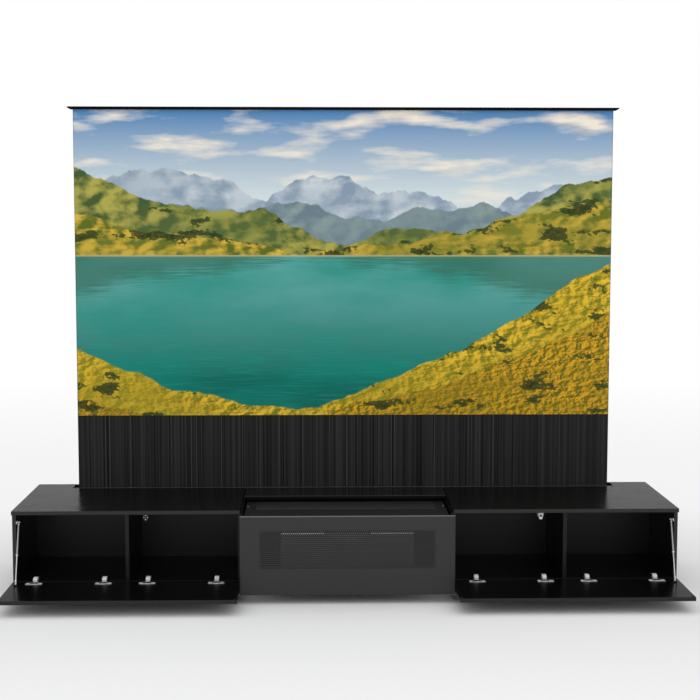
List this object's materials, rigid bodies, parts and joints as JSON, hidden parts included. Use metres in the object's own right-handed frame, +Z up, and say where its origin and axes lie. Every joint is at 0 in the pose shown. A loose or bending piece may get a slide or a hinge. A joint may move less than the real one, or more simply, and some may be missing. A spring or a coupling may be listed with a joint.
{
  "type": "motorized projector cabinet",
  "caption": "Low media cabinet with drop-down flaps, a powered projector drawer with a grille front and a screen that rises from a slot in the top on folding arms.",
  "frame": {"origin": "on the floor, under the middle of the box of the cabinet with its flaps open", "axes": "+Z up, +X along the width to the right as seen from the front, +Y from the front towards the back"},
  "size_m": [2.58, 0.842, 1.916],
  "materials": {
    "board": "satin charcoal lacquer on board",
    "base": "black painted batten",
    "smoked_glass": "dark tinted polished glass",
    "nickel": "nickel plated steel",
    "zinc": "zinc plated steel",
    "dark_steel": "satin dark grey powder coat",
    "aluminium": "satin anodised",
    "black_aluminium": "black anodised",
    "black_plastic": "fine moulded grain",
    "white_plastic": "smooth moulded",
    "grey_plastic": "fine moulded grain",
    "screen_fabric": "matte projection fabric with a black border and skirt"
  },
  "bodies": {
    "cabinet": {"bottom_panel": "board", "left_side_panel": "board", "right_side_panel": "board", "left_top_panel": "board", "right_top_panel": "board", "left_divider": "board", "right_divider": "board", "left_partition": "board", "right_partition": "board", "well_board": "board", "rear_cover": "board", "front_runner": "base", "rear_runner": "base", "top_glass": "smoked_glass", "power_inlet": "black_plastic", "left_hinge_arm_1": "nickel", "left_hinge_arm_2": "nickel", "left_hinge_arm_3": "nickel", "left_hinge_arm_4": "nickel", "right_hinge_arm_1": "nickel", "right_hinge_arm_2": "nickel", "right_hinge_arm_3": "nickel", "right_hinge_arm_4": "nickel", "left_stay_bracket": "nickel", "right_stay_bracket": "nickel", "left_latch_body": "black_plastic", "right_latch_body": "white_plastic", "left_slide_rail": "zinc", "right_slide_rail": "zinc", "drawer_motor": "dark_steel", "control_box": "black_plastic", "left_roller_bracket": "dark_steel", "right_roller_bracket": "dark_steel", "roller_motor": "black_aluminium", "left_lift_bracket": "dark_steel", "right_lift_bracket": "dark_steel", "screen_sheet": "screen_fabric"},
    "left_flap": {"left_flap": "board"},
    "right_flap": {"right_flap": "board"},
    "left_stay_rod": {"left_stay_rod": "nickel"},
    "right_stay_rod": {"right_stay_rod": "nickel"},
    "left_stay_cylinder": {"left_stay_cylinder": "nickel"},
    "right_stay_cylinder": {"right_stay_cylinder": "nickel"},
    "drawer": {"drawer_front": "board", "drawer_grille": "dark_steel", "drawer_tray": "board", "drawer_cover": "board", "drawer_rack": "zinc", "left_slide_runner": "zinc", "right_slide_runner": "zinc", "projector_shell": "grey_plastic"},
    "drive_pinion": {"drive_pinion": "zinc"},
    "left_lower_arm": {"left_lower_arm": "aluminium"},
    "left_upper_arm": {"left_upper_arm": "aluminium"},
    "right_lower_arm": {"right_lower_arm": "aluminium"},
    "right_upper_arm": {"right_upper_arm": "aluminium"},
    "screen_bar": {"screen_bar": "black_aluminium"},
    "screen_roller": {"screen_roller": "aluminium"},
    "left_latch_plunger": {"left_latch_plunger": "grey_plastic"},
    "right_latch_plunger": {"right_latch_plunger": "grey_plastic"}
  },
  "joints": [
    {"name": "left_flap_hinge", "type": "hinge", "parent": "cabinet", "child": "left_flap", "pos_m": [-0.8505, -0.147, 0.049], "axis": [-1, 0, 0], "range_deg": [0, 90]},
    {"name": "right_flap_hinge", "type": "hinge", "parent": "cabinet", "child": "right_flap", "pos_m": [0.8505, -0.147, 0.049], "axis": [-1, 0, 0], "range_deg": [0, 90]},
    {"name": "left_stay_swing", "type": "hinge", "parent": "left_flap", "child": "left_stay_rod", "pos_m": [-1.2669, -0.199, 0.07], "axis": [1, 0, 0], "range_deg": [0, 107.8]},
    {"name": "right_stay_swing", "type": "hinge", "parent": "right_flap", "child": "right_stay_rod", "pos_m": [1.2669, -0.199, 0.07], "axis": [1, 0, 0], "range_deg": [0, 107.8]},
    {"name": "left_stay_slide", "type": "slide", "parent": "left_stay_rod", "child": "left_stay_cylinder", "axis": [0, 0.339, 0.9408], "range_m": [-0.0449, 0]},
    {"name": "right_stay_slide", "type": "slide", "parent": "right_stay_rod", "child": "right_stay_cylinder", "axis": [0, 0.339, 0.9408], "range_m": [-0.0449, 0]},
    {"name": "drawer_slide", "type": "slide", "parent": "cabinet", "child": "drawer", "axis": [0, 1, 0], "range_m": [0, 0.11]},
    {"name": "pinion_spin", "type": "hinge", "parent": "cabinet", "child": "drive_pinion", "pos_m": [0, 0.011, 0.1027], "axis": [1, 0, 0], "range_deg": [-421, 0]},
    {"name": "lift_fold", "type": "hinge", "parent": "cabinet", "child": "left_lower_arm", "pos_m": [-0.16, 0.3635, 0.172], "axis": [0, -1, 0], "range_deg": [0, 62.24], "deforming": ["screen_sheet"]},
    {"name": "left_elbow", "type": "hinge", "parent": "left_lower_arm", "child": "left_upper_arm", "pos_m": [-0.53734, 0.3855, 1.02199], "axis": [0, -1, 0], "range_deg": [-124.48, 0]},
    {"name": "bar_pivot", "type": "hinge", "parent": "left_upper_arm", "child": "screen_bar", "pos_m": [-0.16, 0.3855, 1.87199], "axis": [0, -1, 0], "range_deg": [0, 62.24]},
    {"name": "right_fold", "type": "hinge", "parent": "cabinet", "child": "right_lower_arm", "pos_m": [0.16, 0.3635, 0.172], "axis": [0, -1, 0], "range_deg": [-62.24, 0]},
    {"name": "right_elbow", "type": "hinge", "parent": "right_lower_arm", "child": "right_upper_arm", "pos_m": [0.53734, 0.3855, 1.02199], "axis": [0, -1, 0], "range_deg": [0, 124.48]},
    {"name": "roller_spin", "type": "hinge", "parent": "cabinet", "child": "screen_roller", "pos_m": [0, 0.3182, 0.142], "axis": [1, 0, 0], "continuous": true},
    {"name": "left_latch_press", "type": "slide", "parent": "cabinet", "child": "left_latch_plunger", "axis": [0, 1, 0], "range_m": [0, 0.003], "stiffness_N_per_m": 200},
    {"name": "right_latch_press", "type": "slide", "parent": "cabinet", "child": "right_latch_plunger", "axis": [0, 1, 0], "range_m": [0, 0.003], "stiffness_N_per_m": 200}
  ],
  "couplings": [
    {"joint": "left_stay_swing", "follows": "left_flap_hinge", "ratio": 1.1969},
    {"joint": "right_stay_swing", "follows": "right_flap_hinge", "ratio": 1.1969},
    {"joint": "left_stay_slide", "follows": "left_flap_hinge", "m_per_rad": -0.02855},
    {"joint": "right_stay_slide", "follows": "right_flap_hinge", "m_per_rad": -0.02855},
    {"joint": "pinion_spin", "follows": "drawer_slide", "rad_per_m": -66.667},
    {"joint": "left_elbow", "follows": "lift_fold", "ratio": -2},
    {"joint": "bar_pivot", "follows": "lift_fold", "ratio": 1},
    {"joint": "right_fold", "follows": "lift_fold", "ratio": -1},
    {"joint": "right_elbow", "follows": "lift_fold", "ratio": 2},
    {"joint": "roller_spin", "follows": "lift_fold", "ratio": -55.802}
  ]
}
